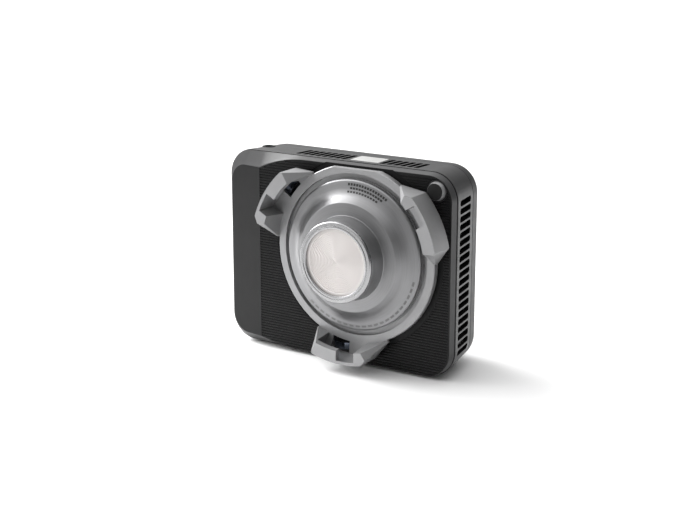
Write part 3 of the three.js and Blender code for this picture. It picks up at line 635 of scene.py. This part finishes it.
def front_panel():
    """The ribbed front with its plain left face, its edge band and the holes for the ring and button."""
    face = face_ring()
    seam = at_depth(body_outline(SEAM_Y, SEAM_STEP), SEAM_Y)
    rings = []
    for k in range(EDGE_STEPS + 1):
        t = k / EDGE_STEPS
        across = EDGE_START * (1 - t) ** 2 + EDGE_END * t ** 2
        back = EDGE_END * t ** 2
        rings.append([(x + (sx - x) * across, y + (SEAM_Y - SEAM_CHAMFER - y) * back, z + (sz - z) * across)
                      for (x, y, z), (sx, _, sz) in zip(face, seam)])
    rings.append(at_depth(body_outline(SEAM_Y, SEAM_STEP), SEAM_Y - SEAM_CHAMFER))
    rings.append(at_depth(body_outline(SEAM_Y, SEAM_STEP + SEAM_CHAMFER), SEAM_Y))
    crease_top = 2 * (CORNER_STEPS + 1) + len(BEND) - 1
    crease_bottom = 4 * (CORNER_STEPS + 1) + len(BEND)
    piece = loft("front_panel", rings, (crease_top, crease_bottom))
    flat_room = [(x, z) for x, z in body_outline(SEAM_Y, WALL) if x > BEND_FROM - 0.1]
    before, behind = PANEL_Y - 1, SEAM_Y + 2
    recess = [(0, before), (RECESS_R + HOLE_CHAMFER, before), (RECESS_R + HOLE_CHAMFER, PANEL_Y),
              (RECESS_R, PANEL_Y + HOLE_CHAMFER), (RECESS_R, RECESS_Y), (0, RECESS_Y)]
    hole = [(0, 0), (BUTTON_HOLE_R + HOLE_CHAMFER, 0), (BUTTON_HOLE_R + HOLE_CHAMFER, PANEL_Y - 0.01),
            (BUTTON_HOLE_R, PANEL_Y + HOLE_CHAMFER), (BUTTON_HOLE_R, behind), (0, behind)]
    carve(
        piece,
        [prism(flat_room, PANEL_Y + FRONT_WALL, SEAM_Y + 1)],
        [lathe("recess", recess, 200)],
        [rod(SPIGOT_R + GAP, before, behind, steps=160)],
        rib_grooves(),
        [lathe("button_hole", hole, 72, (BUTTON_X, BUTTON_Z))],
        [rod(PIN_HOLE_R, before, behind, PIN_X, PIN_Z, 32)],
    )
    outline = [(x, z) for x, _, z in face]
    return finish(piece, "front_panel", PANEL, "housing", ["front_shell"], 9,
                  HOUSING, lambda centre: not encloses(outline, centre.x, centre.z))


def vent_slots(x0, x1):
    slots = []
    for i in range(VENT["count"]):
        z = VENT["top"] - i * VENT["pitch"]
        outline = rounded_rect(VENT["y0"], VENT["y1"], z - VENT["height"] / 2, z + VENT["height"] / 2,
                               VENT["corner"], 4)
        slots.append(prism(outline, x0, x1, along_x))
    return slots


def top_slots():
    slots = []
    for first, count in TOP_VENT["groups"]:
        for i in range(count):
            x = first + i * TOP_VENT["pitch"]
            outline = rounded_rect(x - TOP_VENT["width"] / 2, x + TOP_VENT["width"] / 2,
                                   TOP_VENT["y0"], TOP_VENT["y1"], 1.2, 4)
            slots.append(prism(outline, *TOP_WALL, along_z))
    return slots


def main_shell():
    """The middle of the body, with its vents and the beds of the badge, the insert and the base plate."""
    y0, y1 = SEAM_Y + GAP, REAR_SEAM_Y
    piece = shell("housing_shell", [(y0, SEAM_CHAMFER), (y0 + SEAM_CHAMFER, 0), (y1 - SEAM_CHAMFER, 0),
                                    (y1, SEAM_CHAMFER)])
    above, below = 70, -60

    def bed(node):
        low, high = lamp_box(node)
        return rounded_rect(low.x - GAP, high.x + GAP, low.y - GAP, high.y + GAP, 0.8)

    insert_low, insert_high = lamp_box("top_thread_insert")
    insert_r = (insert_high.x - insert_low.x) / 2 + GAP
    insert_cut = [((insert_low.x + insert_high.x) / 2 + dx, (insert_low.y + insert_high.y) / 2 + dy)
                  for dx, dy in (polar(insert_r, 360 * i / 48) for i in range(48))]
    carve(
        piece,
        [shell("inside", [(y0 - 1, 0), (y1 + 1, 0)], WALL)],
        vent_slots(*RIGHT_WALL) + vent_slots(*LEFT_WALL),
        top_slots() + [prism(bed("top_badge"), BODY["top"] - 1.4, above, along_z),
                       prism(insert_cut, 40, above, along_z),
                       prism(bed("stand_plate"), BODY["bottom"] - 5, below, along_z)],
    )
    # Faces more than 0.6 mm inside the outer wall, the vent walls among them, take the near-black material:
    # painted shade for the dark inside of the body.
    return finish(piece, "housing_shell", HOUSING, "housing", ["main_housing"], 28,
                  INSIDE_SHADE, lambda centre: depth_inside(centre) > 0.6)


def rear_shell():
    """The cover behind the rear seam. Its rounded edge is the mean of REAR_STEPS over a short depth."""
    y0 = REAR_SEAM_Y + GAP
    bend_y = 44.0
    stations = [(y0, SEAM_CHAMFER), (y0 + SEAM_CHAMFER, 0.0), (bend_y - 1, 0.0)]
    steps = 20
    for i in range(steps + 1):
        y = bend_y + (BACK_Y - 0.6 - bend_y) * i / steps
        spread = [along(REAR_STEPS, y + d) for d in (-1.2, -0.6, 0, 0.6, 1.2)]
        stations.append((y, sum(spread) / len(spread)))
    last = stations[-1][1]
    stations += [(BACK_Y - 0.25, last + 0.45), (BACK_Y, last + 1.3)]
    piece = shell("rear_shell", stations)
    inside = shell("inside", [(y0 - 1, 0.0)] + [(y - WALL, step) for y, step in REAR_STEPS], WALL)
    before, behind = 50, 70  # depths on either side of the rear wall

    def window(node, r):
        low, high = lamp_box(node)
        return prism(rounded_rect(low.x - GAP, high.x + GAP, low.z - GAP, high.z + GAP, r), before, behind)

    def hole(node, r):
        x, z = middle(node)
        return rod(r, before, behind, x, z, 48)

    screws = [f"rear_screw_{i}" for i in (1, 2, 3, 4)]
    carve(
        piece,
        [inside],
        [rod(GRILLE_HOLE_R, before, behind, FAN_X, FAN_Z, 128), window("display_window", 2.0),
         window("power_inlet", 2.0), window("service_port", 1.7),
         hole("brightness_encoder", ENCODER_HOLE_R), hole("colour_encoder", ENCODER_HOLE_R),
         hole("power_button", KEY_HOLE_R), hole("mode_button", KEY_HOLE_R)]
        + [hole(screw, SCREW_HOLE_R) for screw in screws],
        [rod(SCREW_HEAD["r"], BACK_Y - SCREW_HEAD["depth"], behind, *middle(screw), 48) for screw in screws],
    )
    return finish(piece, "rear_shell", REAR, "housing", ["rear_cover"], 28)


front_panel()
main_shell()
rear_shell()

# ------------------------------------------------------------------ accessory ring
softened_copy("mount_ring", CAST, 0.45, 30, 3)


def leaf_spring(index, angle):
    """Bent strip: a long ramp, a rounded crest and a short drop."""
    thick, inner, outer, radius = 0.8, 57.6, 61.8, 60.5
    tail, crest, tip = (radius * math.tan(math.radians(t)) for t in (-14.3, -7.6, -3.8))
    corners = [(tail, 1.6), (crest, -1.1, 2.6), (tip, 1.2), (tip, 1.2 + thick), (crest, -1.1 + thick, 2.2),
               (tail, 1.6 + thick)]
    shifted = [(s + 100, y, *rest) for s, y, *rest in corners]
    line = [(s - 100, y) for s, y in filleted(shifted, 0.25, 8)]
    cx, cz = polar(1, angle)
    count = len(line)
    vertices = [(out * cx - s * cz, y, out * cz + s * cx) for out in (inner, outer) for s, y in line]
    faces = [tuple(range(count)), tuple(range(2 * count - 1, count - 1, -1))]
    faces += [(i, i + count, (i + 1) % count + count, (i + 1) % count) for i in range(count)]
    piece = soften(tidy(new_object("leaf", vertices, faces)), 0.12, 50)
    node = f"leaf_spring_{index}"
    finish(piece, node + "_piece", DARK_STEEL, "housing", [node], 30)


for index, angle in enumerate((270, 30, 150), 1):
    leaf_spring(index, angle)

# ------------------------------------------------------------------ hood and optics
BARREL_FRONT_Y = -20.3
RING_FLOOR_Y = 1.2
HOOD_EDGE_R = 47.4
# The hood's outside from the barrel to its edge: (radius, depth, rounding)
HOOD_OUTSIDE = [(25.2, BARREL_FRONT_Y, 0.25), (26.4, -9.3, 0.5), (34.1, -8.5, 0.3), (36.0, -6.9, 0.9),
                (38.4, -4.6, 1.4), (41.4, -3.1, 1.4), (46.6, -2.2, 0.4), (HOOD_EDGE_R, -1.5, 0.3)]


def hood():
    back_y = RING_FLOOR_Y - 0.25
    inside = [(HOOD_EDGE_R, back_y, 0.1), (46.4, back_y, 0.1), (46.2, -0.9), (38.6, -1.0), (36.0, -3.2),
              (33.6, -6.6), (24.6, -7.3), (23.3, BARREL_FRONT_Y, 0.1)]
    finish(lathe("hood", filleted(HOOD_OUTSIDE + inside, 0.3, 5), 240), "bell_hood", HOOD, "housing",
           ["inner_hood"], 35)


hood()


def lens_ring():
    """Retaining ring with a fine groove between its inner and outer lips."""
    front, back = LENS_FRONT_Y, BARREL_FRONT_Y - 0.2
    corners = [
        (20.9, front + 0.3, 0.15), (21.5, front, 0.15), (22.3, front, 0.1), (22.5, front + 0.35, 0.08),
        (22.9, front + 0.35, 0.08), (23.1, front, 0.1), (24.6, front, 0.2), (25.2, front + 0.6, 0.2),
        (25.2, back, 0.05), (22.9, back, 0.05), (22.9, front + 1.1, 0.05), (20.9, front + 1.1, 0.05)]
    finish(lathe("lens_ring", filleted(corners, 0.15, 4), 200), "lens_ring", POLISHED, "housing",
           ["lens_retaining_ring"], 35)


lens_ring()


def lens():
    """Clear disc whose slightly crowned front is stepped into fine concentric ribs."""
    pitch, depth = 1.05, 0.42
    front, back = -21.0, -18.6
    crown = 0.1
    rib_end, lens_r = 19.6, 22.6
    profile = [(0, front - crown)]
    r = pitch
    while r < rib_end:
        rise = crown * (1 - (r / rib_end) ** 2)
        profile += [(r - 0.08, front + depth - rise), (r, front - rise)]
        r += pitch
    profile += [(20.3, front + 0.2), (lens_r, front + 0.2), (lens_r, back), (0, back)]
    finish(lathe("lens", profile, 220), "ribbed_lens", LENS, "housing",
           ["fresnel_lens"], 40)


lens()


def hood_bars(name, material, rows):
    """Plain printed bars on the hood: rows of (inner radius, outer radius, first, last, pitch, width).

    The last four are angles in degrees. The bars stand a little proud and reach just under the surface.
    """
    proud, sunk = 0.06, 0.25
    cuts = 3
    vertices, faces = [], []
    for r0, r1, first, last, pitch, width in rows:
        angle = first
        while angle <= last + 1e-6:
            start = len(vertices)
            for lift in (-proud, sunk):
                for r in (r0, (r0 + r1) / 2, r1):
                    for k in range(cuts + 1):
                        x, z = polar(r, angle + width * (k / cuts - 0.5))
                        vertices.append((x, along(HOOD_OUTSIDE, r) + lift, z))
            wide = cuts + 1
            layer = 3 * wide
            for row in range(2):
                for k in range(cuts):
                    a = start + row * wide + k
                    faces.append((a, a + 1, a + 1 + wide, a + wide))
                    faces.append((a + layer, a + wide + layer, a + 1 + wide + layer, a + 1 + layer))
            rim = ([start + k for k in range(wide)] + [start + wide * 2 - 1]
                   + [start + layer - 1 - k for k in range(wide)] + [start + wide])
            for a, b in zip(rim, rim[1:] + rim[:1]):
                faces.append((a, a + layer, b + layer, b))
            angle += pitch
    finish(tidy(new_object(name, vertices, faces), 1e-6), name, material, "housing",
           (), 30)


hood_bars("hood_bars", INK, [(43.9, 45.4, 58, 93, 2.5, 1.75), (41.7, 43.0, 61, 93, 2.7, 2.05),
                             (39.7, 40.8, 64, 93, 2.9, 2.1)])
hood_bars("hood_dashes", FAINT_INK, [(44.0, 45.3, 229, 345, 5.8, 3.7)])

# ------------------------------------------------------------------ release button
FACE_R = 5.0


def release_button():
    """A dark slightly crowned face in a pale conical rim, with the stem that goes through the panel."""
    low, high = lamp_box("release_button")
    front = low.y
    corners = [(0, front), (2.4, front + 0.03, 0.8), (FACE_R - 0.1, front + 0.2, 0.15),
               (FACE_R + 0.05, front + 0.45, 0.05), (0, front + 0.45)]
    dome = lathe("button_face", filleted(corners, 0.2, 5), 96, (BUTTON_X, BUTTON_Z))
    finish(dome, "button_face", BUTTON_FACE, "release", (), 30)
    cap = [(0, front + 0.5), (FACE_R + 0.05, front + 0.5, 0.02), (FACE_R + 0.12, front + 0.35, 0.08),
           (BUTTON_R, PANEL_Y - 0.1, 0.3), (BUTTON_R, 7.4, 0.1), (2.4, 7.4),
           (2.4, high.y), (0, high.y)]
    rim = lathe("button_rim", filleted(cap, 0.15, 5), 96, (BUTTON_X, BUTTON_Z))
    finish(rim, "button_rim", CAST, "release", ["release_button"], 35)


release_button()
softened_copy("button_collar", BLACK, 0.15)

# ------------------------------------------------------------------ pieces carried over with softened edges
for node, material, width in (
    ("top_badge", BADGE, 0.12), ("top_thread_insert", MATTE_BLACK, 0.3), ("stand_plate", STAND_PAINT, 0.4),
    ("stand_insert", BRASS, 0.3), ("brightness_knob", BLACK, 0.25), ("colour_knob", BLACK, 0.25),
    ("power_button", BLACK, 0.15), ("mode_button", BLACK, 0.15), ("power_inlet", BLACK, 0.2),
    ("service_port", STEEL, 0.12), ("display_window", SCREEN, 0.2), ("fan_grille", BLACK, 0.25),
    ("fan_rotor", BLACK, 0.15), ("fan_frame", BLACK, 0.3), ("lock_pin", STEEL, 0.2),
    *[(f"rear_screw_{i}", BLACK_STEEL, 0.15) for i in (1, 2, 3, 4)],
    *[(f"ring_screw_{i}", STEEL, 0.15) for i in (1, 2, 3)],
):
    softened_copy(node, material, width)

# ------------------------------------------------------------------ CAD nodes that stay as they are
KEPT = {
    "lens_gasket": RUBBER, "reflector_cup": REFLECTOR, "cob_holder": CERAMIC, "cob_board": CERAMIC,
    "cob_led": PHOSPHOR, "heat_spreader": COPPER, "heat_pipe_1": COPPER, "heat_pipe_2": COPPER,
    "heat_pipe_3": COPPER, "fin_stack": FIN_METAL, "release_link": BLACK_STEEL, "button_spring": STEEL,
    "lock_pin_spring": STEEL, "spring_bracket": BLACK_STEEL, "power_supply_board": BOARD,
    "control_board": BOARD, "transformer": TAPE, "capacitor_1": SLEEVE, "capacitor_2": SLEEVE,
    "driver_coil": COPPER, "display_module": SCREEN, "brightness_encoder": STEEL, "colour_encoder": STEEL,
}
for node, material in KEPT.items():
    mesh = frame["nodes"][node].data
    mesh.materials.clear()
    mesh.materials.append(material)


# ------------------------------------------------------------------ floor, light and camera
def floor():
    """A pale floor with painted shade: its colour gets darker well in front of the lamp, so that the front
    doesn't reflect it white.
    """
    size = 6.0
    sheet = new_object("floor", [(-size, -size, 0), (size, -size, 0), (size, size, 0), (-size, size, 0)],
                       [(0, 1, 2, 3)])
    made = Shader("pale_floor", (0.93, 0.93, 0.93), 0.6)
    split = made.nodes.new("ShaderNodeSeparateXYZ")
    made.links.new(made.coords, split.inputs["Vector"])
    # Painted shade: the floor's colour falls from pale to dark well in front of the lamp.
    painted_shade_fac = made.between(split.outputs["Y"], 0.0, 1.0, (-0.55, -0.15))
    ramp = made.nodes.new("ShaderNodeValToRGB")
    for element, share in zip(ramp.color_ramp.elements, (0.22, 0.93)):
        element.color = (share, share, share, 1.0)
    made.links.new(painted_shade_fac, ramp.inputs["Fac"])
    made.links.new(ramp.outputs["Color"], made.shader.inputs["Base Color"])
    made.vary_roughness(made.noise(80.0, 3.0), 0.57, 0.63)
    sheet.data.materials.append(made.material)
    sheet.location.z = -0.0004


def softbox(name, place, aim, size, power):
    """Rectangular light, in metres and watts."""
    light = bpy.data.lights.new(name, "AREA")
    light.shape = "RECTANGLE"
    light.size, light.size_y = size
    light.energy = power
    lamp = bpy.data.objects.new(name, light)
    bpy.context.scene.collection.objects.link(lamp)
    lamp.location = place
    lamp.rotation_euler = (Vector(aim) - Vector(place)).to_track_quat("-Z", "Y").to_euler()


def sky():
    """Plain light all round: bright overhead and brighter at the upper left, dim near the horizon."""
    world = bpy.data.worlds.new("studio")
    bpy.context.scene.world = world
    world.use_nodes = True
    nodes, links = world.node_tree.nodes, world.node_tree.links
    background = nodes["Background"]
    coords = nodes.new("ShaderNodeTexCoord")

    def lobe(toward, start, end, low, high):
        direction = nodes.new("ShaderNodeVectorMath")
        direction.operation = "DOT_PRODUCT"
        direction.inputs[1].default_value = Vector(toward).normalized()
        links.new(coords.outputs["Generated"], direction.inputs[0])
        ramp = nodes.new("ShaderNodeMapRange")
        ramp.interpolation_type = "SMOOTHSTEP"
        ramp.inputs["From Min"].default_value = start
        ramp.inputs["From Max"].default_value = end
        ramp.inputs["To Min"].default_value = low
        ramp.inputs["To Max"].default_value = high
        links.new(direction.outputs["Value"], ramp.inputs["Value"])
        return ramp.outputs["Result"]

    total = nodes.new("ShaderNodeMath")
    total.operation = "ADD"
    links.new(lobe(*OVERHEAD), total.inputs[0])
    links.new(lobe(*UPPER_LEFT), total.inputs[1])
    links.new(total.outputs["Value"], background.inputs["Strength"])
    background.inputs["Color"].default_value = (1, 1, 1, 1)


# Lobes of the sky: (towards, cosine where it starts, cosine where it is full, strength outside, inside)
OVERHEAD = ((-0.38, -0.05, 0.92), 0.1, 0.9, 0.16, 1.5)
UPPER_LEFT = ((-0.82, 0.0, 0.57), 0.80, 0.94, 0.0, 4.4)

floor()
sky()
# left_box lights the front; floor_box lights the floor on the left, which the body's left edge reflects.
softbox("left_box", (-0.9, -0.7, 0.30), (0, 0, 0.05), (0.5, 0.5), 1.2)
softbox("floor_box", (-0.42, 0.07, 0.30), (-0.42, 0.07, 0), (0.35, 0.35), 3.2)

bpy.context.scene.view_settings.view_transform = "Standard"

camera = bpy.data.objects.new("camera", bpy.data.cameras.new("camera"))
bpy.context.scene.collection.objects.link(camera)
camera.data.sensor_width = 36
camera.data.lens = 77.68
camera.location = (0.47682, -0.76253, 0.30101)
camera.rotation_euler = (math.pi / 2 - 0.25706, 0, 0.56648)
bpy.context.scene.camera = camera
